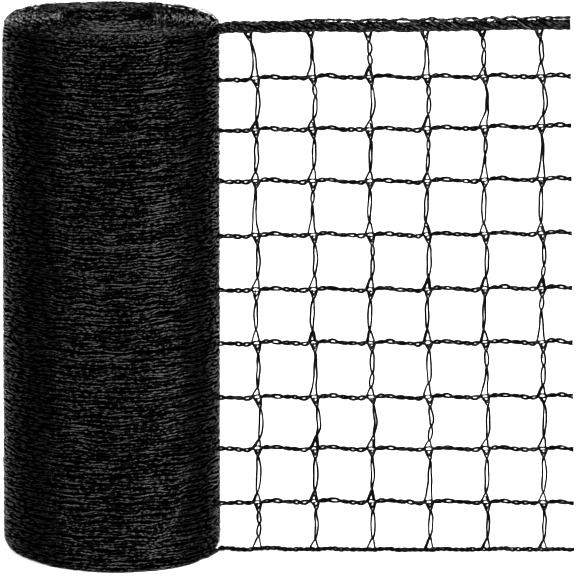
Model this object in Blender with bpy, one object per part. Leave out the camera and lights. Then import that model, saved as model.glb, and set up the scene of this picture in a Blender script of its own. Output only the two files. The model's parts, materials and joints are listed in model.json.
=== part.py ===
"""Bird netting roll: knitted plastic net wound into a hollow roll that stands on its end.

The loose end of the net leaves the roll at its right-hand side and is drawn out to a straight cut.
Everything is in metres, +Z up. The net's width runs up the roll, its length runs round the roll
and then along +X, and -Y is the side the loose end is seen from.
"""

from collections import namedtuple
from math import cos, pi, radians, sin

import bmesh
import bpy
from mathutils import Vector
from mathutils.geometry import interpolate_bezier

MM = 0.001

# ---------------------------------------------------------------- the roll
ROLL_HEIGHT = 0.190
END_RADIUS = 0.0393  # outside of the outermost turn, where it ends
TURN_PITCH = 0.0030  # growth of the radius in one main turn
MAIN_TURNS = 7.25
END_ANGLE = radians(-14.0)  # direction of the outermost turn's end, seen from the roll's axis
STATIONS = 48  # stations round one turn
GROOVE_DEPTH = 1.0 * MM  # between neighbouring turns, on the top end
RIM_DROP = 1.3 * MM  # the outer rim lies this much lower than the turns' crests
RIM_INSET = 0.4 * MM
FOOT_INSET = 1.6 * MM  # how far the outer wall tucks in under the roll
CREST_DIP = 0.5 * MM  # the turns' crests stand unevenly, up to this much
WALL_DENT = 0.5 * MM  # the outer wall is uneven, up to this much inwards
WALL_BANDS = 9  # levels of unevenness up the outer wall

# ---------------------------------------------------------------- the net
CELL_LENGTH = 0.020  # between neighbouring filament pairs
PAIRS = 6
FIRST_PAIR = 0.0150  # path length from the roll to the first pair
TAIL = 0.0108  # from the last pair to the cut end
NET_THICKNESS = 1.4 * MM
CHAIN_WIDTH = 1.4 * MM
FAN_WIDTH = 2.2 * MM  # a pair where it spreads into a chain
PAIR_WIDTH = 1.1 * MM  # a pair between the chains
FAN_SHARE = 0.14  # share of a cell's height that a pair takes to draw together
CORD_RADIUS = 1.75 * MM
CORD_STEP = 2.6 * MM  # between the cord's points
GAP = 0.3 * MM  # between neighbouring pieces
START_STEP = 0.8 * MM  # the net and its cord leave the roll straight over this length
BEND_STATIONS = (2.2 * MM, 3.8 * MM, 6.0 * MM, 9.5 * MM)  # where a chain turns on its way to the first pair

# ---------------------------------------------------------------- the net's path, in plan
PATH_RADIUS = 0.0384  # where the path leaves the roll
PLANE_Y = -0.0050  # the drawn-out length lies in this plane
BEND_END_X = 0.052
BEND_LEAD_OUT = 0.004  # Bezier handle at the roll
BEND_LEAD_IN = 0.008  # Bezier handle at the plane
BEND_POINTS = 25
PLANE_STEP = 4.0 * MM  # between the path's points in the plane
PLANE_WAVE = 0.4 * MM  # the drawn-out length wavers this much in depth
PLANE_WAVE_LENGTH = 0.070
ROLL_SAG_REACH = 0.050  # a chain's sag at the roll fades out over this length

# The chains from the lowest up, in millimetres: height at mid length, sag at the roll (negative
# where it rises there), climb by the cut end, and how far the pairs above it bow along the net.
Chain = namedtuple("Chain", "height sag climb bow")
CHAINS = (
    Chain(height=0.7, sag=-0.9, climb=0.0, bow=0.6),
    Chain(height=18.5, sag=0.5, climb=-0.5, bow=0.4),
    Chain(height=37.5, sag=-0.2, climb=-0.1, bow=1.2),
    Chain(height=56.0, sag=0.0, climb=0.4, bow=0.4),
    Chain(height=75.5, sag=0.3, climb=0.2, bow=-0.5),
    Chain(height=94.5, sag=0.2, climb=0.6, bow=0.6),
    Chain(height=114.0, sag=0.4, climb=0.6, bow=-0.4),
    Chain(height=133.0, sag=-0.2, climb=0.9, bow=0.4),
    Chain(height=151.5, sag=0.4, climb=1.2, bow=1.1),
    Chain(height=170.0, sag=1.2, climb=0.2, bow=0.4),
)
CORD = Chain(height=187.5, sag=0.3, climb=0.7, bow=0.0)


def clear_scene():
    """Removes every object and mesh of the open file."""
    for obj in list(bpy.data.objects):
        bpy.data.objects.remove(obj)
    for mesh in list(bpy.data.meshes):
        bpy.data.meshes.remove(mesh)


def black_polyethylene(name, roughness):
    """Black polyethylene yarn; a knitted surface looks duller than a bare filament."""
    material = bpy.data.materials.new(name)
    material.use_nodes = True
    shader = material.node_tree.nodes["Principled BSDF"]
    shader.inputs["Base Color"].default_value = (0.006, 0.006, 0.007, 1.0)
    shader.inputs["Metallic"].default_value = 0.0
    shader.inputs["Roughness"].default_value = roughness
    return material


def object_from(bm, name, material):
    """A smooth-shaded object of a finished bmesh."""
    bmesh.ops.recalc_face_normals(bm, faces=bm.faces)
    mesh = bpy.data.meshes.new(name)
    bm.to_mesh(mesh)
    bm.free()
    mesh.shade_smooth()
    mesh.set_sharp_from_angle(angle=radians(50.0))
    mesh.materials.append(material)
    obj = bpy.data.objects.new(name, mesh)
    bpy.context.scene.collection.objects.link(obj)
    return obj


# ---------------------------------------------------------------- wound roll
def turn_radius(turn):
    """Radius of the line between two neighbouring turns, counted in turns from the inner start."""
    return END_RADIUS - TURN_PITCH * (MAIN_TURNS + 1 - turn)


def turn_angle(turn):
    return END_ANGLE + 2 * pi * (turn - MAIN_TURNS)


def round_axis(radius, angle, height):
    return Vector((radius * cos(angle), radius * sin(angle), height))


def wall_dent(angle, height):
    """How far the outer wall lies inside its spiral; nothing at the end of the outermost turn."""
    away = 0.5 - 0.5 * cos(angle - END_ANGLE)
    ripple = sin(3 * angle + 60 * height) + sin(5 * angle - 95 * height + 1.0)
    return WALL_DENT * away * (0.5 + 0.25 * ripple)


def outer_wall_levels():
    """(height, inset) of each level up the outer wall between its foot and its rim."""
    levels = [(0.5 * MM, 0.4 * FOOT_INSET), (1.8 * MM, 0.0)]
    low = 4.0 * MM
    high = ROLL_HEIGHT - 4.0 * MM
    for band in range(WALL_BANDS):
        levels.append((low + (high - low) * band / (WALL_BANDS - 1), 0.0))
    return levels


def wound_roll(material):
    """The winding as one solid: spiral crests and grooves on top, a flat foot, an open bore."""
    bm = bmesh.new()
    last = round(MAIN_TURNS * STATIONS)
    levels = outer_wall_levels()
    foot, groove, crest, wall = {}, {}, {}, {}
    for i in range(last + STATIONS + 1):
        turn = i / STATIONS
        radius, angle = turn_radius(turn), turn_angle(turn)
        outside = i >= last
        foot_radius = radius - FOOT_INSET if outside else radius
        rim_radius = radius - RIM_INSET if outside else radius
        rim_drop = RIM_DROP if outside else GROOVE_DEPTH
        foot[i] = bm.verts.new(round_axis(foot_radius, angle, 0.0))
        groove[i] = bm.verts.new(round_axis(rim_radius, angle, ROLL_HEIGHT - rim_drop))
        if outside:
            wall[i] = [
                bm.verts.new(round_axis(radius - inset - wall_dent(angle, height), angle, height))
                for height, inset in levels
            ]
    for i in range(last + 1):
        turn = i / STATIONS
        angle = turn_angle(turn)
        dip = CREST_DIP * (0.5 + 0.5 * sin(1.3 * angle))
        crest[i] = bm.verts.new(
            round_axis(turn_radius(turn) + TURN_PITCH / 2, angle, ROLL_HEIGHT - dip)
        )

    for i in range(last):
        next_turn = i + STATIONS
        bm.faces.new((groove[i], crest[i], crest[i + 1], groove[i + 1]))
        bm.faces.new((crest[i], groove[next_turn], groove[next_turn + 1], crest[i + 1]))
        bm.faces.new((foot[i], foot[i + 1], foot[next_turn + 1], foot[next_turn]))
    for i in range(STATIONS):
        bm.faces.new((foot[i], groove[i], groove[i + 1], foot[i + 1]))
        right = last + i
        column = [foot[right], *wall[right], groove[right]]
        next_column = [foot[right + 1], *wall[right + 1], groove[right + 1]]
        for k in range(len(column) - 1):
            bm.faces.new((column[k], next_column[k], next_column[k + 1], column[k + 1]))
    # the cut edge of the innermost turn, and that of the outermost turn where the loose net leaves
    bm.faces.new((foot[0], foot[STATIONS], groove[STATIONS], crest[0], groove[0]))
    end = last + STATIONS
    bm.faces.new(
        [foot[last], *wall[last], groove[last], crest[last], groove[end], *reversed(wall[end])]
        + [foot[end]]
    )
    return object_from(bm, "wound_roll", material)


# ---------------------------------------------------------------- path of the loose end
def net_path():
    """Points of the loose end's path in plan: off the last turn, round into the plane, straight on."""
    heading = Vector((-sin(END_ANGLE), cos(END_ANGLE), 0.0))
    start = round_axis(PATH_RADIUS, END_ANGLE, 0.0) + GAP * heading
    bend_end = Vector((BEND_END_X, PLANE_Y, 0.0))
    points = interpolate_bezier(
        start,
        start + BEND_LEAD_OUT * heading,
        bend_end - Vector((BEND_LEAD_IN, 0.0, 0.0)),
        bend_end,
        BEND_POINTS,
    )
    length = FIRST_PAIR + (PAIRS - 1) * CELL_LENGTH + TAIL
    run = length - path_length(points)
    steps = round(run / PLANE_STEP)
    for step in range(1, steps + 1):
        along = run * step / steps
        wave = PLANE_WAVE * sin(2 * pi * along / PLANE_WAVE_LENGTH)
        points.append(Vector((BEND_END_X + along, PLANE_Y + wave, 0.0)))
    return points


def path_length(path):
    return sum((b - a).length for a, b in zip(path, path[1:]))


def on_path(path, along):
    """The point of the path at a path length."""
    for a, b in zip(path, path[1:]):
        step = (b - a).length
        if along <= step:
            return a.lerp(b, along / step)
        along -= step
    return path[-1].copy()


def chain_height(chain, along, whole):
    """Height of a chain at a path length: its sag fades out from the roll, its climb comes later."""
    from_roll = max(0.0, 1 - along / ROLL_SAG_REACH)
    to_cut = max(0.0, 2 * along / whole - 1)
    return MM * (chain.height - chain.sag * from_roll**2 + chain.climb * to_cut)


# ---------------------------------------------------------------- loose net
def pair_width(share):
    """Width of a filament pair at a share of the way up its cell: it fans out into both chains."""
    to_chain = min(share, 1 - share)
    fan = max(0.0, 1 - to_chain / FAN_SHARE)
    return PAIR_WIDTH + (FAN_WIDTH - PAIR_WIDTH) * fan


def loose_net(path, material):
    """The net's middle surface, a strip for each chain and each run of a pair, made a thin sheet."""
    bm = bmesh.new()
    whole = path_length(path)
    pairs = [FIRST_PAIR + CELL_LENGTH * k for k in range(PAIRS)]

    def vert(along, height):
        point = on_path(path, along)
        return bm.verts.new((point.x, point.y, height))

    # one chain: stations along it, each a lower and an upper vertex; a pair stands between two
    stations = [0.0, START_STEP, *BEND_STATIONS]
    sides = []
    for k, middle in enumerate(pairs):
        sides.append(len(stations))
        stations += [middle - FAN_WIDTH / 2, middle + FAN_WIDTH / 2]
        stations.append(middle + (CELL_LENGTH if k < PAIRS - 1 else TAIL) / 2)
    stations.append(whole)
    edges = []
    for chain in CHAINS:
        heights = [chain_height(chain, along, whole) for along in stations]
        lower = [vert(s, z - CHAIN_WIDTH / 2) for s, z in zip(stations, heights)]
        upper = [vert(s, z + CHAIN_WIDTH / 2) for s, z in zip(stations, heights)]
        for k in range(len(stations) - 1):
            bm.faces.new((lower[k], lower[k + 1], upper[k + 1], upper[k]))
        edges.append((lower, upper))

    # one run of a pair: from a chain's upper edge to the next chain's lower edge or to the cord
    shares = (FAN_SHARE, 0.38, 0.62, 1 - FAN_SHARE)
    for j, chain in enumerate(CHAINS):
        for middle, side in zip(pairs, sides):
            low = chain_height(chain, middle, whole) + CHAIN_WIDTH / 2
            if j + 1 < len(CHAINS):
                high = chain_height(CHAINS[j + 1], middle, whole) - CHAIN_WIDTH / 2
            else:
                high = chain_height(CORD, middle, whole) - CORD_RADIUS - GAP
            below = edges[j][1][side : side + 2]
            for share in shares:
                centre = middle + MM * chain.bow * sin(pi * share)
                half = pair_width(share) / 2
                height = low + (high - low) * share
                level = [vert(centre - half, height), vert(centre + half, height)]
                bm.faces.new((below[0], below[1], level[1], level[0]))
                below = level
            if j + 1 < len(CHAINS):
                top = edges[j + 1][0][side : side + 2]
            else:
                top = [vert(middle - FAN_WIDTH / 2, high), vert(middle + FAN_WIDTH / 2, high)]
            bm.faces.new((below[0], below[1], top[1], top[0]))

    net = object_from(bm, "loose_net", material)
    thicken = net.modifiers.new("Sheet thickness", "SOLIDIFY")
    thicken.thickness = NET_THICKNESS
    thicken.offset = 0.0
    thicken.use_even_offset = True
    return net


# ---------------------------------------------------------------- edge cord
def edge_cord(path, material):
    """The selvedge cord: a round tube along the net's path, just above the net."""
    whole = path_length(path)
    curve = bpy.data.curves.new("edge_cord", "CURVE")
    curve.dimensions = "3D"
    curve.bevel_depth = CORD_RADIUS
    curve.bevel_resolution = 2
    curve.use_fill_caps = True
    steps = round(whole / CORD_STEP)
    stations = [0.0, START_STEP] + [whole * k / steps for k in range(1, steps + 1)]
    spline = curve.splines.new("POLY")
    spline.points.add(len(stations) - 1)
    for point, along in zip(spline.points, stations):
        place = on_path(path, along)
        point.co = (place.x, place.y, chain_height(CORD, along, whole), 1.0)
    curve.materials.append(material)
    cord = bpy.data.objects.new("edge_cord", curve)
    bpy.context.scene.collection.objects.link(cord)
    return cord


def stand_over_origin(pieces):
    """Moves all the pieces together so that the origin is under the middle of their common box."""
    bpy.context.view_layer.update()
    graph = bpy.context.evaluated_depsgraph_get()
    corners = []
    for piece in pieces:
        evaluated = piece.evaluated_get(graph)
        mesh = evaluated.to_mesh()
        corners += [evaluated.matrix_world @ vertex.co for vertex in mesh.vertices]
        evaluated.to_mesh_clear()
    middle = Vector([(min(c[k] for c in corners) + max(c[k] for c in corners)) / 2 for k in (0, 1)])
    foot = min(c.z for c in corners)
    for piece in pieces:
        piece.location = (-middle.x, -middle.y, -foot)


def main():
    clear_scene()
    wound = black_polyethylene("wound_polyethylene", 0.45)
    knitted = black_polyethylene("knitted_polyethylene", 0.35)
    path = net_path()
    pieces = [wound_roll(wound), loose_net(path, knitted), edge_cord(path, knitted)]
    stand_over_origin(pieces)


main()
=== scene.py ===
"""The looks of a roll of knitted bird netting, standing on its end with its free end drawn out.

Shapes are worked out in millimetres from the roll's axis and foot. filament_mesh and packed_turns
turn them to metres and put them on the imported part. Angles run round the axis, seen from above,
from the side that the loose end leaves to.
"""

import json
from collections import namedtuple
from math import atan2, cos, hypot, pi, radians, sin, sqrt

import bpy
import numpy as np
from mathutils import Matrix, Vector
from mathutils.geometry import interpolate_bezier


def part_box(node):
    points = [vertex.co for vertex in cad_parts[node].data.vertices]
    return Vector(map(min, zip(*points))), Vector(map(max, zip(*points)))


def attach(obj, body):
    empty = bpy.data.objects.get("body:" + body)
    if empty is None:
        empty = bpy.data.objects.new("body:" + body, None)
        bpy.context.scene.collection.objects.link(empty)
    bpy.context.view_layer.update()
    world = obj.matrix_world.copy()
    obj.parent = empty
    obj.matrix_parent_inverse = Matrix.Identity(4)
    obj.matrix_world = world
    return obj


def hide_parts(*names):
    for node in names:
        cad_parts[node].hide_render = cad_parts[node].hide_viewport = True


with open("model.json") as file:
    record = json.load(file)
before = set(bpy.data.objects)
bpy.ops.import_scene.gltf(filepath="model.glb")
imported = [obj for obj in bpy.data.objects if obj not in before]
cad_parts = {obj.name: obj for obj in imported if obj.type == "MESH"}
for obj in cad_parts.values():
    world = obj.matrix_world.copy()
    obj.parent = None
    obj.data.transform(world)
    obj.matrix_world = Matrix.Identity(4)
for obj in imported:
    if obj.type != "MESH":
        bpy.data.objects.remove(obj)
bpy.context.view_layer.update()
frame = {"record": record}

MM = 0.001

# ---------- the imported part
ROLL_LOW, ROLL_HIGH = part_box("wound_roll")
OPENINGS = frame["record"]["physics"]["openings"]
BORE_BOX = next(o["box_m"] for o in OPENINGS if o["name"] == "roll_bore")
AXIS = Vector([(BORE_BOX[0][k] + BORE_BOX[1][k]) / 2 for k in (0, 1)] + [ROLL_LOW.z])
HEIGHT = (ROLL_HIGH.z - ROLL_LOW.z) / MM

# ---------- the winding, in millimetres
TURN_PITCH = 3.0  # growth of the radius in one main turn
MAIN_TURNS = 8.25  # from the bore's start to the outermost turn's end
END_ANGLE = radians(-14.0)  # where the outermost turn ends and the loose end leaves
START_ANGLE = END_ANGLE - 2 * pi * MAIN_TURNS
BORE_RADIUS = 14.7  # at the innermost turn's start
WALL_RADIUS = 38.12  # of the outermost filaments, just after the outermost turn's end
WALL_GROWTH = 0.15  # round that turn
END_RAMP = 0.08  # share of a turn over which a turn's end settles onto the turn below it
RIM_ROUND = 2.6  # radius of the rim's rounding
RIM_LEAN = 0.9  # how far the wall leans in at its left, below the rim
RIM_LEAN_DEPTH = 14.0  # how far down it does so
LEFT_RISE = 0.85  # how much higher the roll is wound at its left than at its right
RIM_WAVE = 0.33  # how far its edge waves up and down, four times in a turn
LEFT_LEAN = 0.4  # how far the wall leans in at its left over its whole height
LEFT_SPREAD = 0.15  # how much further out it stands there at the foot
CROWN = 1.0  # how much higher the innermost turn stands than the rim

# The radius of the foot's rounding at angles in degrees.
FOOT_ROUNDS = {
    0: 5.0,
    180: 6.0,
    214: 8.0,
    232: 6.4,
    252: 4.2,
    270: 1.9,
    300: 1.1,
    318: 1.9,
    332: 4.2,
}

# ---------- the loose end, in millimetres
CELL = 20.0  # between neighbouring filament pairs
PAIRS = 6
FIRST_PAIR = 15.0  # from the roll to the first pair, along the net
TAIL = 10.8  # from the last pair to the cut end
LOOSE_LENGTH = FIRST_PAIR + (PAIRS - 1) * CELL + TAIL
PATH_RADIUS = 38.4  # where the net leaves the roll
TUCK_ANGLE = radians(16)  # it comes from this far back, under the outermost turn
TUCK_DEPTH = 2.4  # and from this much further in
PLANE_Y = -5.0  # it bends into this plane and goes on in it, waving a little
BEND_END_X = 52.0
BEND_LEAD_OUT = 4.0  # Bezier handle of the bend at the roll
BEND_LEAD_IN = 8.0  # and at the plane
BEND_POINTS = 25
PLANE_STEP = 4.0  # between the path's points in the plane
PLANE_WAVE = 0.4
PLANE_WAVE_LENGTH = 70.0
ROLL_SAG_REACH = 50.0  # a chain's sag at the roll fades out over this length
CORD_RADIUS = 1.75
FIRST_LEAN = 0.47  # of the first pair: ahead at the foot and behind at the top by this much
LEAN_PER_CELL = 0.115  # more, for each pair after it
CUT_LEAN = 1.3  # of the cut end
HUMP = 0.32  # how far a chain rises just after each pair and hangs just before the next
HUMP_LEAN = 1.0  # the humps lean with the pairs, by this much
CORD_DRAG = 0.8  # how far the cord holds the pairs' upper ends back towards the roll
FIRST_DRAG = 1.8  # more, at the first pair

# The chains from the lowest up: height at mid length, sag at the roll (negative where it rises
# there), climb by the cut end, and how far the pairs above it bow along the net.
Chain = namedtuple("Chain", "height sag climb bow")
CHAINS = (
    Chain(1.05, -0.8, 0.0, 0.6),
    Chain(18.5, 0.5, -0.5, 0.4),
    Chain(37.5, -0.2, -0.1, 1.2),
    Chain(56.0, 0.0, 0.4, 0.4),
    Chain(75.5, 0.3, 0.2, -0.5),
    Chain(94.5, 0.2, 0.6, 0.6),
    Chain(114.0, 0.4, 0.6, -0.4),
    Chain(133.0, -0.2, 0.9, 0.4),
    Chain(151.5, 0.4, 1.2, 1.1),
    Chain(170.0, 1.2, 0.2, 0.4),
)
CORD = Chain(187.5, 0.3, 0.7, 0.0)
LOWEST_CHAIN = 1.15  # lowest height of a chain's middle, with its loops clear of the ground

# The loops of a chain over one cell, from a pair on: where each begins, how far its filaments
# part, and how far it bulges upwards.
Loop = namedtuple("Loop", "start opening bulge")
CELL_LOOPS = (
    Loop(-1.6, 0.644, 0.0),
    Loop(1.7, 0.529, 0.12),
    Loop(5.0, 0.598, 0.12),
    Loop(9.0, 0.529, 0.0),
    Loop(12.4, 0.575, 0.0),
    Loop(15.2, 0.621, -0.2),
)
# The lowest chain's loops are shorter and alike.
LOWEST_LOOPS = tuple(Loop(2.0 * k - 1.6, 0.506, 0.0) for k in range(10))

# Half the width and half the thickness of a filament, which is a flattened strand.
Yarn = namedtuple("Yarn", "wide thin")
WOUND_YARN = Yarn(wide=0.1, thin=0.08)
TOP_YARN = Yarn(wide=0.135, thin=0.11)
BORE_YARN = Yarn(wide=0.16, thin=0.1)
NET_YARN = Yarn(wide=0.48, thin=0.23)
PAIR_YARN = Yarn(wide=0.43, thin=0.26)
LEG_YARN = Yarn(wide=0.33, thin=0.17)
CORD_YARN = Yarn(wide=0.32, thin=0.19)

# Cross-sections of a filament as shares of its half thickness, towards its flat face, and of its
# half width, across it.
RIBBON = ((1, -1), (1, 1), (-1, 1), (-1, -1))
ROUNDED_RIBBON = ((1, -0.6), (1, 0.6), (0, 1), (-1, 0.6), (-1, -0.6), (0, -1))
THIN_RIBBON = ((1, -1), (1, 1), (-1, 0))
ROUND_CORE = tuple((cos(pi * k / 5), sin(pi * k / 5)) for k in range(10))
SHARPEST_SMOOTH = radians(44)

# One filament: its centreline, the direction that its flat side faces at each point, its yarn,
# how far it is turned about its own line, and whether its ends meet.
Filament = namedtuple("Filament", "line faces yarn turned closed")

LOOP_LENGTHS = (0.55, 1.45)  # a loop's length and its opening vary between these shares
LOOP_OPENINGS = (0.3, 1.0)
CROSSING_ROOM = 1.1  # of a filament's half thickness, where two pass over each other
CHAIN_TWIST = 0.75  # how far a chain's filaments turn about, in radians
TWIST_WAVE = 4.0  # shortest length over which they do so


# ---------- filaments
def squared_off(wave, power):
    """A wave with fuller crests and steeper crossings, for a power below 1."""
    return np.sign(wave) * np.abs(wave) ** power


def unit(vectors):
    return vectors / np.linalg.norm(vectors, axis=1, keepdims=True)


def length_along(line):
    """Length from the line's start to each of its points."""
    steps = np.linalg.norm(np.diff(line, axis=0), axis=1)
    return np.concatenate(([0.0], np.cumsum(steps)))


def ripple(rng, turn, lowest, highest, waves=6):
    """A smooth random wave, about -1 to 1, that repeats after a full turn of 2 pi."""
    counts = rng.integers(lowest, highest + 1, waves)
    phases = rng.uniform(0, 2 * pi, waves)
    return np.sin(np.outer(turn, counts) + phases).sum(axis=1) / sqrt(waves)


def tube_rings(filament, profile):
    """The vertices of a filament, one ring of them round each point of its line."""
    line = filament.line
    if filament.closed:
        tangent = unit(np.roll(line, -1, axis=0) - np.roll(line, 1, axis=0))
    else:
        tangent = unit(np.gradient(line, axis=0))
    faces = filament.faces
    out = unit(faces - (faces * tangent).sum(axis=1, keepdims=True) * tangent)
    side = np.cross(tangent, out)
    turned = np.reshape(filament.turned, (-1, 1))
    flat = out * np.cos(turned) + side * np.sin(turned)
    edge = side * np.cos(turned) - out * np.sin(turned)
    over, across = np.array(profile).T
    thin = filament.yarn.thin * over[None, :, None] * flat[:, None, :]
    wide = filament.yarn.wide * across[None, :, None] * edge[:, None, :]
    return line[:, None, :] + thin + wide


def filament_mesh(name, filaments, profile, material):
    """One piece of many filaments: closed ribbons with flat cut ends, mapped along them."""
    verts, faces, mapping = [], [], []
    first, sides = 0, len(profile)
    for filament in filaments:
        points = len(filament.line)
        verts.append(tube_rings(filament, profile).reshape(-1, 3))
        spans = points if filament.closed else points - 1
        here, k = np.meshgrid(np.arange(spans), np.arange(sides), indexing="ij")
        after, next_k = (here + 1) % points, (k + 1) % sides
        corners = (here * sides + k, here * sides + next_k)
        corners += (after * sides + next_k, after * sides + k)
        faces += (first + np.stack(corners, axis=-1).reshape(-1, 4)).tolist()
        along = length_along(np.vstack((filament.line, filament.line[:1])))
        low, high = along[here], along[here + 1]
        places = np.stack((k, low, k + 1, low, k + 1, high, k, high), axis=-1).reshape(-1, 2)
        mapping.append(places * (1 / sides, MM))
        if not filament.closed:
            ring = first + np.arange(sides)
            faces += [ring[::-1].tolist(), (ring + (points - 1) * sides).tolist()]
            mapping.append(np.zeros((2 * sides, 2)))
        first += points * sides
    mesh = bpy.data.meshes.new(name)
    mesh.from_pydata(np.concatenate(verts) * MM + AXIS, [], faces)
    layer = mesh.uv_layers.new(name="along_filament")
    layer.uv.foreach_set("vector", np.concatenate(mapping).astype(np.float32).ravel())
    mesh.materials.append(material)
    piece = bpy.data.objects.new(name, mesh)
    bpy.context.scene.collection.objects.link(piece)
    bpy.ops.object.select_all(action="DESELECT")
    piece.select_set(True)
    bpy.context.view_layer.objects.active = piece
    bpy.ops.object.shade_smooth_by_angle(angle=SHARPEST_SMOOTH)
    return piece


def random_loops(rng, length, loop, opening):
    """Where the filaments of a chain cross along its length, and how far each loop opens."""
    count = 2 * max(1, round(length / (2 * loop)))
    gaps = rng.uniform(*LOOP_LENGTHS, count)
    crossings = np.concatenate(([0.0], np.cumsum(gaps))) * length / gaps.sum()
    openings = opening * rng.uniform(*LOOP_OPENINGS, count) * np.sqrt(gaps)
    return crossings, openings


def chain(rng, line, opens, faces, yarn, loops, closed, twist=CHAIN_TWIST, tip=0.0):
    """The two filaments of a chain: they part into loops and pass over each other in between."""
    crossings, openings = loops
    along = length_along(line)
    phase = np.interp(along, crossings, pi * np.arange(len(crossings)))
    loop = np.clip(np.searchsorted(crossings, along, side="right") - 1, 0, len(openings) - 1)
    part = (openings[loop] * np.sin(phase))[:, None] * opens
    over = (CROSSING_ROOM * yarn.thin * np.cos(phase))[:, None] * faces
    turn = 2 * pi * along / along[-1]
    waves = max(2, round(along[-1] / TWIST_WAVE))
    filaments = []
    for side in (1, -1):
        turned = twist * ripple(rng, turn, waves // 2, waves) - tip
        filaments.append(Filament(line + side * (part + over), faces, yarn, turned, closed))
    return filaments


# ---------- shape of the winding
def share_of_turn(angle, start):
    """How far round from the start an angle is, from 0 to 1."""
    return np.mod(angle - start, 2 * pi) / (2 * pi)


def settled(share):
    """Growth over a turn, from 0 to nearly 1, that falls back to 0 over the turn's last part."""
    ramp = np.clip((share - 1 + END_RAMP) / END_RAMP, 0, 1)
    return share * (1 - ramp * ramp * (3 - 2 * ramp))


def wall_radius(angle):
    return WALL_RADIUS + WALL_GROWTH * settled(share_of_turn(angle, END_ANGLE))


def bore_radius(angle):
    return BORE_RADIUS + TURN_PITCH * settled(share_of_turn(angle, START_ANGLE))


def leftness(angle):
    """From 0 at the loose end's side to 1 opposite it."""
    return (1 - np.cos(angle)) / 2


def foot_round(angle):
    radii = list(FOOT_ROUNDS.values())
    return np.interp(np.degrees(angle), list(FOOT_ROUNDS), radii, period=360)


def rounded_in(angle, height):
    """How far the wall is drawn in at the rim and at the foot."""
    rim = np.clip((height - HEIGHT + RIM_ROUND) / RIM_ROUND, 0, 1)
    leaning = np.clip((height - HEIGHT + RIM_LEAN_DEPTH) / RIM_LEAN_DEPTH, 0, 1)
    size = foot_round(angle)
    foot = np.clip((size - height) / size, 0, 1)
    arcs = RIM_ROUND * (1 - np.sqrt(1 - rim * rim)) + size * (1 - np.sqrt(1 - foot * foot))
    left = RIM_LEAN * leaning**2 + LEFT_LEAN * height / HEIGHT - LEFT_SPREAD
    return arcs + leftness(angle) * left


def crown(radius):
    """How much higher than the rim a turn's upper edge stands."""
    return CROWN * np.clip((WALL_RADIUS - radius) / (WALL_RADIUS - BORE_RADIUS), 0, 1)


def uneven_edge(angle, height):
    """How much higher or lower than its even height a turn lies here, least near the foot."""
    return (LEFT_RISE * leftness(angle) - RIM_WAVE * np.cos(4 * angle)) * height / HEIGHT


def round_axis(angle, radius, height):
    """Points round the roll's axis."""
    flat = np.broadcast_arrays(radius * np.cos(angle), radius * np.sin(angle), height)
    return np.stack(flat, axis=1)


def outwards(angle):
    return round_axis(angle, 1.0, 0.0)


UP = np.array([[0.0, 0.0, 1.0]])

# A slow wave that neighbouring chains share: its size, how often it comes round the roll, how
# fast it shifts with height, and where it starts.
Wave = namedtuple("Wave", "size count climb start")
WAVE_COUNTS = (6, 19)  # round the roll, up to the second number less one
WAVE_CLIMBS = (16, 60)  # height over which a wave shifts by its whole length


def shared_waves(rng, count, size):
    return [
        Wave(
            size=size / sqrt(count) * rng.uniform(0.6, 1.4),
            count=rng.integers(*WAVE_COUNTS),
            climb=2 * pi / rng.uniform(*WAVE_CLIMBS) * rng.choice((-1, 1)),
            start=rng.uniform(0, 2 * pi),
        )
        for _ in range(count)
    ]


def sway(waves, angle, height):
    total = 0.0
    for wave in waves:
        total = total + wave.size * np.sin(wave.count * angle + wave.climb * height + wave.start)
    return total


def ring_angles(radius, step):
    count = round(2 * pi * radius / step)
    return 2 * pi * np.arange(count) / count


# ---------- pieces of the winding
# How a part's chains are made: the step between their points, the mean length of their loops,
# and how far they waver up and down and in and out.
Knit = namedtuple("Knit", "step loop up out")
WALL_KNIT = Knit(1.0, 3.8, 0.12, 0.11)
RIM_KNIT = Knit(0.7, 2.5, 0.25, 0.2)
BORE_KNIT = Knit(1.25, 3.6, 0.3, 0.25)
FOOT_KNIT = Knit(1.7, 5.0, 0.2, 0.3)

LAYERS = 3  # of the net's turns, those that show between each other on the wall
LAYER_DEPTH = 0.08  # between neighbouring layers
COMMON_WAVES = 7  # of the sway that the layers share
COMMON_SWAY = 0.27
LAYER_WAVES = 4  # of each layer's own sway
LAYER_SWAY = 0.22
SWAY_FADE = 5.0  # the sway fades out over this height at the foot and at the rim
WALL_CHAINS = 58  # in each layer
WALL_SHIFT = 0.1  # how far a chain is out of its even place, as a share of their spacing
WALL_OPENING = 0.3  # how far its loops part, which is less just above the foot
WALL_TIP = 0.28  # how far the filaments lie back, facing a little upwards
LOWEST_TURN = 0.22  # heights between which the wall's chains stay
HIGHEST_TURN = HEIGHT - 0.5
RIM_BAND = 3.1  # the wall's top, left to the rim's own chains


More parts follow.
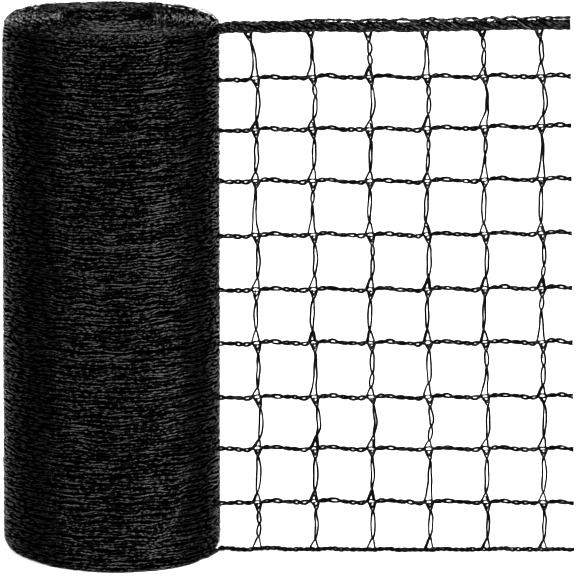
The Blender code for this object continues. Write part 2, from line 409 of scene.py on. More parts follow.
def wall_chains(rng, layer, common):
    """One layer of chains round the wall, spaced evenly up it and swaying with the others."""
    own_waves = shared_waves(rng, LAYER_WAVES, LAYER_SWAY)
    angle = ring_angles(WALL_RADIUS, WALL_KNIT.step)
    out = outwards(angle)
    filaments = []
    for i in range(WALL_CHAINS):
        place = i + (layer + 0.5) / LAYERS + rng.uniform(-WALL_SHIFT, WALL_SHIFT)
        base = (HEIGHT - RIM_BAND) * (place / WALL_CHAINS)
        fade = np.clip(min(base, HEIGHT - base) / SWAY_FADE, 0, 1)
        height = base + fade * (sway(common, angle, base) + sway(own_waves, angle, base))
        height = height + WALL_KNIT.up * ripple(rng, angle, 8, 34)
        height = np.clip(height, LOWEST_TURN, HIGHEST_TURN)
        dip = LAYER_DEPTH * layer + WALL_KNIT.out * (1 + ripple(rng, angle, 8, 45))
        radius = wall_radius(angle) - rounded_in(angle, height) - dip
        line = round_axis(angle, radius, height + uneven_edge(angle, height))
        opening = WALL_OPENING * min(1.0, 0.2 + 0.4 * base)
        loops = random_loops(rng, 2 * pi * WALL_RADIUS, WALL_KNIT.loop, opening)
        filaments += chain(rng, line, UP, out, WOUND_YARN, loops, True, tip=WALL_TIP)
    return filaments


# The selvedge loops along the outer rim, from the lowest chain up: how far below the roll's top
# it runs, and how far its loops part.
RimChain = namedtuple("RimChain", "drop opening")
RIM_CHAINS = (
    RimChain(2.5, 0.25),
    RimChain(1.85, 0.25),
    RimChain(1.2, 0.3),
    RimChain(0.6, 0.4),
)
RIM_DEPTH = 0.25  # below the wall's surface
RIM_TWIST = 0.6


def rim_chains(rng):
    """The selvedge loops that stand along the outer rim."""
    angle = ring_angles(WALL_RADIUS, RIM_KNIT.step)
    out = outwards(angle)
    filaments = []
    for row in RIM_CHAINS:
        height = HEIGHT - row.drop + uneven_edge(angle, HEIGHT)
        height = height + RIM_KNIT.up * ripple(rng, angle, 5, 24)
        radius = wall_radius(angle) - rounded_in(angle, HEIGHT - row.drop) - RIM_DEPTH
        line = round_axis(angle, radius + RIM_KNIT.out * ripple(rng, angle, 5, 24), height)
        loops = random_loops(rng, 2 * pi * WALL_RADIUS, RIM_KNIT.loop, row.opening)
        filaments += chain(rng, line, UP, out, WOUND_YARN, loops, True, RIM_TWIST, WALL_TIP)
    return filaments


# The chains along a turn's upper edge: how far outside its crest line and how far below it each
# runs, how its filaments' flat sides face, 1 outwards and -1 inwards, and how far they turn about.
CrestChain = namedtuple("CrestChain", "offset drop aside twist")
CREST_CHAINS = (
    CrestChain(-0.4, 0.4, -1, 0.4),
    CrestChain(0.2, 0.0, 1, 0.4),
    CrestChain(1.2, 0.9, -1, 0.6),
    CrestChain(1.8, 1.0, 1, 0.6),
)
FIRST_CREST = 0.6  # outside the bore's start
LAST_CREST = 2.6  # inside the outermost filaments
CREST_STEP = 0.65
CREST_DROP = 0.6  # below the roll's top, before the crown lifts it
RIM_DROP = 0.8  # how much lower it is near the rim, and how far inside it that starts
RIM_DROP_FROM = 4.5
RIM_DROP_OVER = 3.0  # and over how far it comes about
CREST_LOOP = 4.0
CREST_OPENING = 0.4
CREST_TILT = 0.5  # how far the flat sides face up, and how much less at the roll's left
LEFT_TILT = 0.42


def crest_height(turn, radius):
    """Height of a turn's upper edge: each stands a little higher or lower than the next, more so
    at the front and back than at the sides."""
    slow = 0.1 + 0.36 * np.sin(START_ANGLE + 2 * pi * turn) ** 2
    uneven = slow * np.sin(3.2 * turn) + 0.12 * np.sin(17.1 * turn)
    at_rim = np.clip((radius - WALL_RADIUS + RIM_DROP_FROM) / RIM_DROP_OVER, 0, 1)
    return HEIGHT - CREST_DROP + crown(radius) + uneven * (1 - at_rim) - RIM_DROP * at_rim


def top_chains(rng):
    """The turns' upper edges: chains that spiral from the bore to the rim on each turn's crest.
    At the roll's sides they stray, turn about and level out more."""
    filaments = []
    for crest in CREST_CHAINS:
        turns = (WALL_RADIUS - LAST_CREST - BORE_RADIUS - crest.offset) / TURN_PITCH
        length = 2 * pi * turns * (BORE_RADIUS + TURN_PITCH * turns / 2)
        turn = np.linspace(0.0, turns, round(length / CREST_STEP))
        angle = START_ANGLE + 2 * pi * turn
        own = 2 * pi * turn / turns
        sideways = np.cos(angle) ** 2
        stray = (0.12 + 0.13 * sideways) * ripple(rng, own, 30, 160)
        radius = BORE_RADIUS + FIRST_CREST + TURN_PITCH * turn + crest.offset + stray
        height = crest_height(turn, radius) - crest.drop * (1 - 0.6 * sideways * leftness(angle))
        height = height + 0.25 * crest.twist * ripple(rng, own, 20, 120)
        line = round_axis(angle, radius, height + uneven_edge(angle, HEIGHT))
        out = outwards(angle)
        twist = crest.twist * (0.6 + 1.5 * sideways)
        tilt = CREST_TILT - LEFT_TILT * leftness(angle) + 0.5 * twist * ripple(rng, own, 100, 400)
        faces = np.sin(tilt)[:, None] * UP + crest.aside * np.cos(tilt)[:, None] * out
        opens = unit(out + crest.twist * UP)
        loops = random_loops(rng, length, CREST_LOOP, CREST_OPENING)
        filaments += chain(rng, line, opens, faces, TOP_YARN, loops, False, twist)
    return filaments


# The chains round the inside of the bore, in groups: the height where a group starts, the step
# from each to the next, and how many there are.
BoreChains = namedtuple("BoreChains", "start step count")
BORE_CHAINS = (
    BoreChains(HEIGHT + CROWN - 1.0, -0.75, 14),
    BoreChains(HEIGHT - 11.0, -1.5, 12),
    BoreChains(HEIGHT - 30.0, -3.4, 40),
    BoreChains(0.6, 1.6, 14),
)
BORE_DEPTH = 0.9  # of the chains behind the bore's surface
LOWEST_IN_BORE = 0.35
BORE_OPENING = 0.35
BORE_TWIST = 0.4
BORE_TIP = -0.03  # less than none, because these face inwards


def bore_chains(rng):
    """Chains round the inside of the bore, close together near both ends."""
    angle = ring_angles(BORE_RADIUS + TURN_PITCH / 2, BORE_KNIT.step)
    inward = -outwards(angle)
    filaments = []
    for base in [group.start + group.step * k for group in BORE_CHAINS for k in range(group.count)]:
        height = np.maximum(base + BORE_KNIT.up * ripple(rng, angle, 2, 9), LOWEST_IN_BORE)
        radius = bore_radius(angle) + BORE_DEPTH + BORE_KNIT.out * ripple(rng, angle, 2, 20)
        line = round_axis(angle, radius, height + uneven_edge(angle, base))
        loops = random_loops(rng, 2 * pi * BORE_RADIUS, BORE_KNIT.loop, BORE_OPENING)
        filaments += chain(rng, line, UP, inward, BORE_YARN, loops, True, BORE_TWIST, BORE_TIP)
    return filaments


FOOT_CHAINS = 22
FOOT_INNER = BORE_RADIUS + 1.6  # radius of the innermost
FOOT_OUTER = WALL_RADIUS - 3.4  # and of the outermost
FOOT_TUCK = 0.65  # share of the foot's rounding by which they keep in from the wall
FOOT_HEIGHT = 0.55
FOOT_LOWEST = 0.3
FOOT_OPENING = 0.4


def foot_chains(rng):
    """The turns' lower edges, which the roll stands on."""
    filaments = []
    for base in np.linspace(FOOT_INNER, FOOT_OUTER, FOOT_CHAINS):
        angle = ring_angles(base, FOOT_KNIT.step)
        out = outwards(angle)
        wall = wall_radius(angle) - FOOT_TUCK * foot_round(angle)
        radius = np.minimum(base, wall) + FOOT_KNIT.out * ripple(rng, angle, 2, 16)
        height = FOOT_HEIGHT + FOOT_KNIT.up * ripple(rng, angle, 2, 16)
        line = round_axis(angle, radius, np.maximum(height, FOOT_LOWEST))
        loops = random_loops(rng, 2 * pi * base, FOOT_KNIT.loop, FOOT_OPENING)
        filaments += chain(rng, line, out, -UP + 0 * out, WOUND_YARN, loops, True)
    return filaments


WALL_PAIRS = 7
WALL_PAIR_SHIFT = 0.3  # how far one is out of its even place, as a share of their spacing
WALL_PAIR_END = 1.6  # how far they stop short of the roll's foot and top
WALL_PAIR_DEPTH = 0.62  # below the wall's surface
WALL_PAIR_LOOP = 9.0
WALL_PAIR_OPENING = 0.45


def wall_pairs(rng):
    """Filament pairs that run up the wall between the chains, leaning one way and the other."""
    height = np.linspace(WALL_PAIR_END, HEIGHT - WALL_PAIR_END, 118)
    own = 2 * pi * height / HEIGHT
    filaments = []
    for k in range(WALL_PAIRS):
        base = 2 * pi * (k + rng.uniform(-WALL_PAIR_SHIFT, WALL_PAIR_SHIFT)) / WALL_PAIRS
        drift = 1.6 * ripple(rng, own, 1, 5) + 0.5 * ripple(rng, own, 6, 14)
        angle = base + drift / WALL_RADIUS
        dip = WALL_PAIR_DEPTH + 0.1 * (1 + ripple(rng, own, 6, 24))
        radius = wall_radius(angle) - rounded_in(angle, height) - dip
        line = round_axis(angle, radius, height)
        across, out = outwards(angle + pi / 2), outwards(angle)
        loops = random_loops(rng, HEIGHT, WALL_PAIR_LOOP, WALL_PAIR_OPENING)
        filaments += chain(rng, line, across, out, WOUND_YARN, loops, False)
    return filaments


# Heights of the body's rings, closer together where it is rounded.
BODY_LEVELS = (0.3, 0.8, 1.5, 2.5, 4.0, 6.0, 9.0, 60.0, 120.0, 176.0, 180.0, 184.0, 187.0, 188.1)
BODY_INNER = BORE_RADIUS + TURN_PITCH + 0.9  # radius of its bore, outside the filaments there
BODY_DEPTH = 0.33  # below the outermost filaments
BODY_LIFT = 0.9  # of its underside, clear of the turns' lower edges
BODY_SMOOTH = radians(40)


def packed_turns(material):
    """The turns below the surface as one body, open through the middle, in the painted shade
    material: a black that stands in for the shade under and between the outer filaments.
    """
    bpy.ops.mesh.primitive_circle_add(
        vertices=128,
        radius=WALL_RADIUS * MM,
        fill_type="NGON",
        location=AXIS + Vector((0, 0, BODY_LEVELS[0] * MM)),
    )
    body = bpy.context.object
    body.name = "packed_turns"
    bpy.ops.object.mode_set(mode="EDIT")
    bpy.ops.mesh.select_mode(type="FACE")
    bpy.ops.mesh.select_all(action="SELECT")
    bpy.ops.mesh.inset(thickness=(WALL_RADIUS - BODY_INNER) * MM)
    bpy.ops.mesh.delete(type="FACE")
    bpy.ops.mesh.select_all(action="SELECT")
    for low, high in zip(BODY_LEVELS, BODY_LEVELS[1:]):
        rise = (0, 0, (high - low) * MM)
        bpy.ops.mesh.extrude_region_move(TRANSFORM_OT_translate={"value": rise})
    bpy.ops.mesh.select_all(action="SELECT")
    bpy.ops.mesh.normals_make_consistent(inside=False)
    bpy.ops.object.mode_set(mode="OBJECT")
    bpy.ops.object.transform_apply()
    for vertex in body.data.vertices:
        place = (vertex.co - AXIS) / MM
        angle = atan2(place.y, place.x)
        radius, height = hypot(place.x, place.y), place.z
        if radius > (WALL_RADIUS + BODY_INNER) / 2:
            radius = wall_radius(angle) - rounded_in(angle, height) - BODY_DEPTH
        elif height < BODY_LIFT:
            height += BODY_LIFT
        height += uneven_edge(angle, height)
        vertex.co = AXIS + MM * Vector((radius * cos(angle), radius * sin(angle), height))
    bpy.ops.object.shade_smooth_by_angle(angle=BODY_SMOOTH)
    body.data.materials.append(material)
    return body


# ---------- shape of the loose end
def loose_path():
    """Plan points of the loose end, from under the outermost turn to the cut, and their lengths."""
    heading = Vector((-sin(END_ANGLE), cos(END_ANGLE), 0))
    start = PATH_RADIUS * Vector((cos(END_ANGLE), sin(END_ANGLE), 0))
    bend_end = Vector((BEND_END_X, PLANE_Y, 0))
    leads = start + BEND_LEAD_OUT * heading, bend_end - Vector((BEND_LEAD_IN, 0, 0))
    points = np.array(interpolate_bezier(start, *leads, bend_end, BEND_POINTS))
    run = LOOSE_LENGTH + CUT_LEAN - length_along(points)[-1]
    ahead = np.linspace(0, run, round(run / PLANE_STEP) + 1)[1:]
    wave = PLANE_Y + PLANE_WAVE * np.sin(2 * pi * ahead / PLANE_WAVE_LENGTH)
    plane = np.stack((BEND_END_X + ahead, wave, 0 * ahead), axis=1)
    back = np.linspace(1, 0, 9)[:-1]
    tucked = PATH_RADIUS - TUCK_DEPTH * back**1.5
    wound = round_axis(END_ANGLE - TUCK_ANGLE * back, tucked, 0.0)
    line = np.vstack((wound, points, plane))
    along = length_along(line)
    return line, along - along[len(wound)]


PATH, PATH_ALONG = loose_path()
PATH_HEADING = unit(np.gradient(PATH, axis=0))
PATH_START = PATH_ALONG[0]


def on_net(along, height, proud):
    """Places of the loose end: along it, up its width, and proud of it towards the front."""
    x, y, ahead, aside = (
        np.interp(along, PATH_ALONG, values)
        for values in (PATH[:, 0], PATH[:, 1], PATH_HEADING[:, 0], PATH_HEADING[:, 1])
    )
    faces = unit(np.stack((aside, -ahead, 0 * ahead), axis=1))
    return np.stack((x, y, height + 0 * x), axis=1) + np.reshape(proud, (-1, 1)) * faces, faces


def chain_height(row, along):
    """Height of a chain's middle along the net, with its sag at the roll and its climb."""
    from_roll = np.clip(1 - along / ROLL_SAG_REACH, 0, 1)
    to_cut = np.clip(2 * along / LOOSE_LENGTH - 1, 0, None)
    return row.height - row.sag * from_roll**2 + row.climb * to_cut


def lean(height, reach):
    """How far a place moves along the net: by reach at the foot, and back by as much at the top."""
    return reach * (1 - 2 * height / HEIGHT)


def pair_place(k, height):
    """Where along the net a filament pair is at a height."""
    return FIRST_PAIR + CELL * k + lean(height, FIRST_LEAN + LEAN_PER_CELL * k)


def hump(along):
    """How far a chain rises just after each pair and hangs just before the next."""
    return HUMP * np.sin(2 * pi * (along - FIRST_PAIR) / CELL)


# ---------- pieces of the loose end
# The filaments of a chain: the side that each starts on, how far it lags behind in the loops, in
# radians, and how far it lies in front of the others.
Strand = namedtuple("Strand", "side lag front")
STRANDS = (
    Strand(1, 0.0, 0.0),
    Strand(-1, 0.0, 0.0),
    Strand(1, 0.5, -0.3),
)
STRAND_ROOM = 1.15  # like CROSSING_ROOM, for the loose end
CHAIN_START = 1.5  # past the start of the path
CHAIN_WOBBLE = 0.1
LOOP_SHIFT = 0.35  # how far a loop is out of its even place
LOOP_PARTING = (0.75, 1.1)  # a loop's opening and its bulge vary between these shares
LOOP_BULGING = (0.3, 1.6)
LOOP_FULLNESS = 0.65  # power that squares its outline off
NET_TIP = 0.12  # how far the chains' filaments face down
WINDOW_TURN = 1.1  # how far they turn edge-on near a pair, except on the lowest chain
WINDOW_REACH = 1.5


def loose_chain(rng, row):
    """One chain of the loose end: two looped filaments and a third that follows them."""
    lowest = row is CHAINS[0]
    cut = LOOSE_LENGTH + lean(row.height, CUT_LEAN)
    along = np.linspace(PATH_START + CHAIN_START, cut, 290)
    own = 2 * pi * along / LOOSE_LENGTH
    height = chain_height(row, along) + hump(along - lean(row.height, HUMP_LEAN))
    height = height + CHAIN_WOBBLE * ripple(rng, own, 5, 16)
    proud = CHAIN_WOBBLE * ripple(rng, own, 4, 12)
    line, faces = on_net(along, np.maximum(height, LOWEST_CHAIN), proud)
    starts, openings, bulges = [], [], []
    for k in range(-2, PAIRS):
        for loop in LOWEST_LOOPS if lowest else CELL_LOOPS:
            shift = rng.uniform(-LOOP_SHIFT, LOOP_SHIFT)
            starts.append(pair_place(k, row.height) + loop.start + shift)
            openings.append(loop.opening * rng.uniform(*LOOP_PARTING))
            bulges.append(loop.bulge * rng.uniform(*LOOP_BULGING))
    crossings = np.array(starts + [pair_place(PAIRS, row.height) + CELL_LOOPS[0].start])
    openings, bulges = np.array(openings), np.array(bulges)
    phase = np.interp(along, crossings, pi * np.arange(len(crossings)))
    loop = np.clip(np.searchsorted(crossings, along, side="right") - 1, 0, len(openings) - 1)
    line = line + (bulges[loop] * np.sin(phase) ** 2)[:, None] * UP
    from_pair = np.mod(along - pair_place(0, row.height) + CELL / 2, CELL) - CELL / 2
    window = (0.0 if lowest else WINDOW_TURN) * np.exp(-((from_pair / WINDOW_REACH) ** 2))
    filaments = []
    for side, lag, front in STRANDS:
        part = side * openings[loop] * squared_off(np.sin(phase + lag), LOOP_FULLNESS)
        over = side * STRAND_ROOM * NET_YARN.thin * np.cos(phase + lag) + front
        strand = line + part[:, None] * UP + over[:, None] * faces
        turned = 0.3 * ripple(rng, own, 8, 22) + NET_TIP + window
        filaments.append(Filament(strand, faces, NET_YARN, turned, False))
    return filaments


# The short filaments where a pair meets a chain: whether one hangs from the upper chain, how far
# from the pair's middle it starts and stops, its reach as a share of the pair's tip, and how
# often it is there.
Leg = namedtuple("Leg", "hangs start stop reach chance")
LEGS = (
    Leg(False, -0.8, 0.1, 1.0, 0.4),
    Leg(False, 0.9, -0.1, 0.7, 0.3),
    Leg(True, -1.3, 0.7, 0.8, 0.95),
    Leg(True, 1.3, -0.7, 0.8, 0.95),
    Leg(True, -0.4, -0.3, 1.6, 0.8),
)
LEG_PROUD = 0.3  # in front of the pair

LOWER_TIP = 4.2  # from the lower chain to the pair's first crossing
UPPER_TIP = 3.4  # from its last crossing to the upper chain
TIP_LENGTHS = (0.7, 1.2)  # both vary between these shares
FOOT_CROSSED = 0.85  # how often a pair crosses above its lower chain
MORE_CROSSINGS = (0, 0, 0, 1)  # how often it crosses in between, each as likely
CROSSING_CLEARANCE = 3.6  # from those to the ends' crossings
ENDS_APART = 1.45  # how far its filaments part at a chain
TIPS_APART = 1.0  # and at this share of the length from there to their first crossing
TIPS_AT = 0.45
MIDDLE_APART = (0.44, 0.74)  # and from this share on, past the crossing
MIDDLE_FROM = 1.3
PAIR_FULLNESS = 0.45  # power that squares the loops' outline off
PAIR_SHIFT = -0.12  # along the net at its foot, and how much further it is at its top
PAIR_SLOPE = 0.35
PAIR_ROOM = 0.17  # in front and behind, where its filaments cross


def pair_filaments(rng, middle, low, high, bow, drag):
    """The filaments between two chains at a pair: legs on the lower chain, a cross under the
    upper one."""
    lower_tip = LOWER_TIP * rng.uniform(*TIP_LENGTHS)
    upper_tip = UPPER_TIP * rng.uniform(*TIP_LENGTHS)
    tall = high - low
    crossed_foot = rng.random() < FOOT_CROSSED
    more = rng.choice(MORE_CROSSINGS)
    lowest, highest = lower_tip + CROSSING_CLEARANCE, tall - upper_tip - CROSSING_CLEARANCE
    inner = np.sort(rng.uniform(lowest, highest, more))
    crossings = [lower_tip] * crossed_foot + [*inner, tall - upper_tip]
    phases = pi * np.concatenate(([-0.5], np.arange(len(crossings)), [len(crossings) - 0.5]))
    rise = np.linspace(0, tall, 30)
    phase = np.interp(rise, [0.0, *crossings, tall], phases)
    middle_apart = rng.uniform(*MIDDLE_APART)
    apart = np.array((ENDS_APART, TIPS_APART, middle_apart))
    from_end = np.array((0, TIPS_AT, MIDDLE_FROM))
    levels = np.concatenate((from_end * lower_tip, (tall - from_end * upper_tip)[::-1]))
    parting = np.interp(rise, levels, np.concatenate((apart, apart[::-1])))
    share = rise / tall
    centre = middle + bow * np.sin(pi * share) + PAIR_SHIFT + PAIR_SLOPE * share
    centre = centre - drag * share**1.5 + 0.1 * ripple(rng, 2 * pi * share, 1, 3)
    filaments = []
    for side in (1, -1):
        along = centre + side * parting * squared_off(np.sin(phase), PAIR_FULLNESS)
        line, faces = on_net(along, low + rise, side * PAIR_ROOM * np.cos(phase))
        turned = 0.5 * ripple(rng, pi * share, 1, 4) + rng.uniform(-0.3, 0.3)
        filaments.append(Filament(line, faces, PAIR_YARN, turned, False))
    for leg in LEGS:
        if rng.random() < leg.chance and (leg.hangs or crossed_foot):
            foot, tip = (tall, -upper_tip) if leg.hangs else (0.0, lower_tip)
            t = np.linspace(0, 1, 6)
            rises = foot + leg.reach * tip * t
            along = np.interp(rises, rise, centre) + leg.start + (leg.stop - leg.start) * t
            line, faces = on_net(along, low + rises, LEG_PROUD)
            filaments.append(Filament(line, faces, LEG_YARN, rng.uniform(-0.5, 0.5), False))
    return filaments


ABOVE_CHAIN = 0.1  # where a pair starts above a chain's middle, and stops below the next one's
ABOVE_LOWEST = 0.5  # where it starts above the lowest chain's
BELOW_CORD = 0.8 * CORD_RADIUS  # where it stops below the cord's
BOWS = (0.5, 1.3)  # a pair's bow varies between these shares
BOW_MORE = 0.2


def loose_net_filaments(rng):
    """The loose end's chains, and the filament pairs between them and up to the cord."""
    filaments = []
    for row in CHAINS:
        filaments += loose_chain(rng, row)
    for k in range(PAIRS):
        for j, row in enumerate(CHAINS):
            middle = pair_place(k, row.height + CELL / 2)
            at = np.array([middle])
            low = chain_height(row, at)[0] + (ABOVE_LOWEST if j == 0 else ABOVE_CHAIN)
            if j + 1 < len(CHAINS):
                high, drag = chain_height(CHAINS[j + 1], at)[0] - ABOVE_CHAIN, 0.0
            else:
                drag = CORD_DRAG + (FIRST_DRAG if k == 0 else 0.0)
                high = chain_height(CORD, at)[0] - BELOW_CORD
            bow = row.bow * rng.uniform(*BOWS) + BOW_MORE
            filaments += pair_filaments(rng, middle, low, high, bow, drag)
    return filaments


CORD_STRANDS = 10
CORD_CORE = Yarn(wide=1.16, thin=0.9)
CORD_START = -1.5  # along the net: the cord starts inside the roll
CORD_STEP = 0.75
CORE_STEP = 1.0
CORD_CLIMB = 0.4  # by the cut end, besides that of its row
CORD_LIFT = 0.08
CORD_LAY = 17.0  # length over which a strand goes once round the cord
STRAND_RADIUS = 1.45  # from the cord's middle to a strand's
CORD_FLATNESS = 0.8  # of its depth to its height
SPLIT_FROM = 26.0  # where along the net the chain on top starts to stand off the cord
SPLIT_OVER = 9.0  # and over how far it comes to do so in full

# The looped chains along the cord, above it and below: height over the cord's middle, how far it
# stands off at the most, and how far its loops part.
CordChain = namedtuple("CordChain", "lift split opening")
CORD_CHAINS = (
    CordChain(1.66, 0.85, 0.5),
    CordChain(-1.5, 0.0, 0.34),
)
CORD_LOOP = 3.2


def cord_line(rng, step):
    """Places along the cord, their share of a turn of the random waves, and the cord's height."""
    along = np.arange(CORD_START, LOOSE_LENGTH + lean(CORD.height, CUT_LEAN), step)
    own = 2 * pi * along / LOOSE_LENGTH
    height = chain_height(CORD, along) + CORD_CLIMB * along / LOOSE_LENGTH
    return along, own, height + 0.1 * ripple(rng, own, 4, 9) + CORD_LIFT


def cord_core(rng):
    """The cord's middle, behind its strands, as one thick tube in the painted shade material, which
    stands in for the shade inside the cord.
    """
    along, own, centre = cord_line(rng, CORE_STEP)
    line, faces = on_net(along, centre, 0.0 * along)
    return [Filament(line, faces, CORD_CORE, 0.0 * along, False)]


def edge_cord_filaments(rng):
    """The selvedge cord: a loose twist of filaments, with a looped chain along its upper edge
    and one along its lower edge."""
    along, own, centre = cord_line(rng, CORD_STEP)
    filaments = []
    for k in range(CORD_STRANDS):
        twist = 2 * pi * (k / CORD_STRANDS - along / CORD_LAY) + 0.3 * ripple(rng, own, 4, 14)
        radius = STRAND_RADIUS + 0.15 * ripple(rng, own, 12, 26)
        proud = CORD_FLATNESS * radius * np.cos(twist)
        line, faces = on_net(along, centre + radius * np.sin(twist), proud)
        turned = 1.1 * ripple(rng, own, 10, 34)
        filaments.append(Filament(line, faces, CORD_YARN, turned, False))
    apart = np.clip((along - SPLIT_FROM) / SPLIT_OVER, 0, 1)
    apart = apart * (0.66 + 0.34 * ripple(rng, own, 8, 20))
    for row in CORD_CHAINS:
        height = centre + row.lift + row.split * apart + 0.12 * ripple(rng, own, 8, 20)
        line, faces = on_net(along, height, 0.2 * ripple(rng, own, 6, 14))
        loops = random_loops(rng, length_along(line)[-1], CORD_LOOP, row.opening)
        filaments += chain(rng, line, UP, faces, PAIR_YARN, loops, False)
    return filaments


# ---------- materials
def linear(colour):
    """An sRGB hex colour as linear RGBA."""
    channels = [int(colour[k : k + 2], 16) / 255 for k in (1, 3, 5)]
    return [c / 12.92 if c <= 0.04045 else ((c + 0.055) / 1.055) ** 2.4 for c in channels] + [1.0]


def add_node(tree, kind, settings=(), links=()):
    """Adds a node, sets its properties or inputs by name, and links its inputs to sockets."""
    node = tree.nodes.new(kind)
    for name, value in dict(settings).items():
        if hasattr(node, name):
            setattr(node, name, value)
        else:
            node.inputs[name].default_value = value
    for name, socket in dict(links).items():
        tree.links.new(socket, node.inputs[name])
    return node


def noise(tree, scale, detail, place):
    settings = {"Scale": scale, "Detail": detail}
    return add_node(tree, "ShaderNodeTexNoise", settings, {"Vector": place}).outputs["Fac"]


def bumped(tree, strength, depth, links):
    settings = {"Strength": strength, "Distance": depth}
    return add_node(tree, "ShaderNodeBump", settings, links).outputs["Normal"]


def new_material(name, values):
    """A material, its node tree and its shader, whose inputs are set to values by name."""
    material = bpy.data.materials.new(name)
    material.use_nodes = True
    tree = material.node_tree
    shader = tree.nodes["Principled BSDF"]
    for socket, value in values.items():
        shader.inputs[socket].default_value = value
    return material, tree, shader


SHEEN = 0.04  # weaker than bare plastic, because the drawn surface is dusty and scuffed
KNITTED_SHEEN = 0.35 * SHEEN  # of the loose end, which stands alone before the light
GLOSS = 0.16
STREAKS = (3.0, 160.0, 1.0)  # round a filament and for each metre along it
CRIMPS_PER_METRE = 1400.0
CRIMP_DEPTH = 0.00013
STREAK_DEPTH = 0.00003
PATCHES_PER_METRE = 300.0


def drawn_polyethylene(name, sheen):
    """Black polyethylene filament, drawn hot from a die: nearly black, with a soft gloss that
    breaks up along the filament, and fine streaks."""
    material, tree, shader = new_material(name, {"Specular IOR Level": sheen})
    place = add_node(tree, "ShaderNodeTexCoord").outputs
    streaks = add_node(tree, "ShaderNodeMapping", {"Scale": STREAKS}, {"Vector": place["UV"]})
    streak = noise(tree, 1.0, 2.0, streaks.outputs["Vector"])
    patches = noise(tree, PATCHES_PER_METRE, 1.0, place["Object"])
    colour = add_node(tree, "ShaderNodeMix", {"data_type": "RGBA"}, {"Factor": patches})
    colour.inputs["A"].default_value = linear("#000000")
    colour.inputs["B"].default_value = linear("#010101")
    gloss = add_node(
        tree,
        "ShaderNodeMapRange",
        {"From Min": 0.3, "From Max": 0.7, "To Min": GLOSS - 0.07, "To Max": GLOSS + 0.1},
        {"Value": streak},
    )
    crimps = noise(tree, CRIMPS_PER_METRE, 1.0, place["Object"])
    streaked = bumped(tree, 0.3, STREAK_DEPTH, {"Height": streak})
    crimped = bumped(tree, 1.0, CRIMP_DEPTH, {"Height": crimps, "Normal": streaked})
    tree.links.new(colour.outputs["Result"], shader.inputs["Base Color"])
    tree.links.new(gloss.outputs["Result"], shader.inputs["Roughness"])
    tree.links.new(crimped, shader.inputs["Normal"])
    return material


SHADED_LINES = 2 * pi / 20 * 1000  # scale of a wave texture that repeats each millimetre


def painted_shade_turns(name):
    """Painted shade for the wound net below the surface: the same black filament, packed close,
    drawn as a black that reflects nothing in place of the shade it lies in, with bumps that show
    only as dull horizontal lines a millimetre apart."""
    # Painted shade: pure black with no specular reflection, for turns that lie in shade.
    values = {"Roughness": 0.9, "Specular IOR Level": 0.0, "Base Color": linear("#000000")}
    material, tree, shader = new_material(name, values)
    place = add_node(tree, "ShaderNodeTexCoord")
    lines = add_node(
        tree,
        "ShaderNodeTexWave",
        {"bands_direction": "Z", "Scale": SHADED_LINES, "Distortion": 2.0, "Detail": 2.0},
        {"Vector": place.outputs["Object"]},
    )
    lined = bumped(tree, 0.8, 0.0004, {"Height": lines.outputs["Fac"]})
    tree.links.new(lined, shader.inputs["Normal"])
    return material


def pale_floor(name):
    """A matt painted board, off white."""
    values = {"Roughness": 0.9, "Specular IOR Level": 0.1, "Base Color": linear("#a4a4a2")}
    return new_material(name, values)[0]


def lit_cloth(name):
    """White studio cloth lit from behind, so that it glows evenly and shows no texture."""
    values = {"Roughness": 1.0, "Specular IOR Level": 0.0, "Base Color": linear("#e0e0de")}
    values |= {"Emission Color": linear("#ffffff"), "Emission Strength": 0.5}
    return new_material(name, values)[0]


# ---------- studio, in metres
STAGE_SIDES = 96
CLOTH_RADIUS = 5.0
CLOTH_HEIGHT = 0.3
FLOOR_RADIUS = 5.05


def floor_disc(material):
    bpy.ops.mesh.primitive_circle_add(
        vertices=STAGE_SIDES, radius=FLOOR_RADIUS, fill_type="NGON", location=(0, 0, 0)
    )
    floor = bpy.context.object
    floor.name = "floor"
    floor.data.materials.append(material)


def backdrop(material):
    """A low round cloth beyond the lamps, so that the floor ends in white on every side."""
    bpy.ops.mesh.primitive_cylinder_add(
        vertices=STAGE_SIDES,
        radius=CLOTH_RADIUS,
        depth=CLOTH_HEIGHT,
        end_fill_type="NOTHING",
        location=(0, 0, CLOTH_HEIGHT / 2),
    )
    wall = bpy.context.object
    wall.name = "backdrop"
    bpy.ops.object.mode_set(mode="EDIT")
    bpy.ops.mesh.select_all(action="SELECT")
    bpy.ops.mesh.flip_normals()
    bpy.ops.object.mode_set(mode="OBJECT")
    bpy.ops.object.transform_apply()
    wall.data.materials.append(material)


def direction(azimuth, elevation):
    """Unit vector from the roll: azimuth 0 is the front, and it grows towards the right."""
    a, e = radians(azimuth), radians(elevation)
    return Vector((sin(a) * cos(e), -cos(a) * cos(e), sin(e)))


# A soft lamp: where it stands seen from the roll in degrees, its size in metres, its radiance.
# The wall mirrors those in front, and the top mirrors those overhead and behind.
Softbox = namedtuple("Softbox", "name azimuth elevation width height radiance")
SOFTBOXES = (
    Softbox("right_softbox", 56, 22, 2.5, 1.7, 61.0),
    Softbox("front_softbox", 13, 24, 3.0, 1.4, 41.0),
    Softbox("left_softbox", -31, 22, 2.7, 1.6, 46.0),
    Softbox("right_strip", 88, 22, 0.14, 1.7, 60.0),
    Softbox("left_strip", -68, 22, 0.14, 1.7, 60.0),
    Softbox("overhead_softbox", 180, 62, 2.6, 1.8, 16.5),
    Softbox("right_backdrop", 171, 14, 1.0, 1.9, 2.0),
    Softbox("left_backdrop", -171, 14, 1.0, 1.9, 6.0),
)
SOFTBOX_DISTANCE = 3.4
SOFTBOX_AIM = 0.095  # height on the roll that they all face
WORLD_LIGHT = 0.06


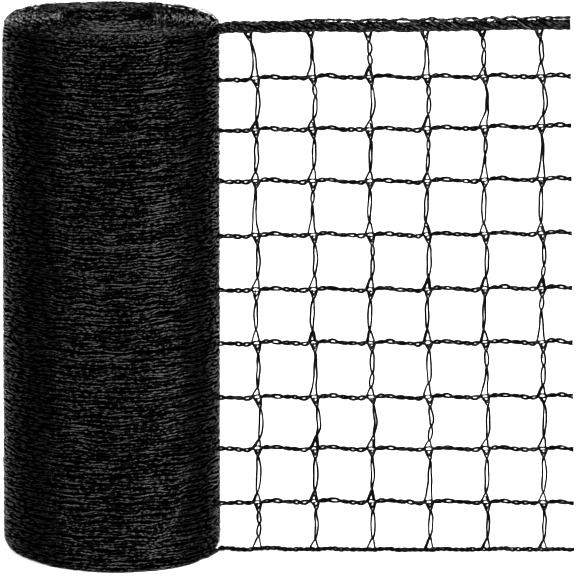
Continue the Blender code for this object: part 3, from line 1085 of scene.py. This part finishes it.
def soft_light():
    for box in SOFTBOXES:
        light = bpy.data.lights.new(box.name, "AREA")
        light.shape = "RECTANGLE"
        light.size, light.size_y = box.width, box.height
        light.energy = pi * box.width * box.height * box.radiance
        lamp = bpy.data.objects.new(box.name, light)
        towards = direction(box.azimuth, box.elevation)
        lamp.location = AXIS + Vector((0, 0, SOFTBOX_AIM)) + SOFTBOX_DISTANCE * towards
        lamp.rotation_euler = towards.to_track_quat("Z", "Y").to_euler()
        lamp.visible_camera = False
        bpy.context.scene.collection.objects.link(lamp)
    world = bpy.data.worlds.new("studio")
    world.use_nodes = True
    background = world.node_tree.nodes["Background"]
    background.inputs["Color"].default_value = linear("#ffffff")
    background.inputs["Strength"].default_value = WORLD_LIGHT
    bpy.context.scene.world = world


LENS_MM = 535.0  # on a sensor 36 mm wide
CAMERA_DISTANCE = 3.0
CAMERA_ELEVATION = 11.3
CAMERA_AIM = 0.094  # height that it is aimed at


def camera():
    """A long lens a little above the roll, aimed between the roll and the net's cut end."""
    data = bpy.data.cameras.new("camera")
    data.sensor_width = 36.0
    data.lens = LENS_MM
    data.clip_end = 50.0
    view = bpy.data.objects.new("camera", data)
    target = Vector((0.0, AXIS.y, CAMERA_AIM))
    back = direction(0.0, CAMERA_ELEVATION)
    view.location = target + CAMERA_DISTANCE * back
    view.rotation_euler = back.to_track_quat("Z", "Y").to_euler()
    bpy.context.scene.collection.objects.link(view)
    bpy.context.scene.camera = view
    bpy.context.scene.view_settings.view_transform = "Standard"


# ---------- the object
def build():
    wound = drawn_polyethylene("drawn_polyethylene_wound", SHEEN)
    knitted = drawn_polyethylene("drawn_polyethylene_knitted", KNITTED_SHEEN)
    # Painted shade for the packed inner turns and the cord's core: black that reflects nothing.
    shade = painted_shade_turns("painted_shade_inner_turns")
    seeded = np.random.default_rng
    wall_rng = seeded(11)
    common = shared_waves(wall_rng, COMMON_WAVES, COMMON_SWAY)
    winding = {
        "outer_wall_filaments": (wall_chains(wall_rng, 0, common), THIN_RIBBON),
        "second_wall_filaments": (wall_chains(wall_rng, 1, common), THIN_RIBBON),
        "third_wall_filaments": (wall_chains(wall_rng, 2, common), THIN_RIBBON),
        "wall_pair_filaments": (wall_pairs(seeded(13)), THIN_RIBBON),
        "rim_filaments": (rim_chains(seeded(14)), RIBBON),
        "top_filaments": (top_chains(seeded(15)), THIN_RIBBON),
        "bore_filaments": (bore_chains(seeded(16)), THIN_RIBBON),
        "foot_filaments": (foot_chains(seeded(17)), THIN_RIBBON),
    }
    body = packed_turns(shade)
    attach(body, "root")
    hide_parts("wound_roll")
    for name, (filaments, profile) in winding.items():
        piece = filament_mesh(name, filaments, profile, wound)
        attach(piece, "root")

    net_filaments = loose_net_filaments(seeded(21))
    net = filament_mesh("loose_net_filaments", net_filaments, ROUNDED_RIBBON, knitted)
    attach(net, "root")
    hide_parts("loose_net")
    cord_filaments = edge_cord_filaments(seeded(22))
    cord = filament_mesh("edge_cord_filaments", cord_filaments, ROUNDED_RIBBON, wound)
    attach(cord, "root")
    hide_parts("edge_cord")
    # The cord's core takes the painted shade material too: black in place of the shade inside the
    # cord.
    core = filament_mesh("edge_cord_core", cord_core(seeded(22)), ROUND_CORE, shade)
    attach(core, "root")


camera()
build()
floor_disc(pale_floor("matt_painted_board"))
backdrop(lit_cloth("lit_studio_cloth"))
soft_light()
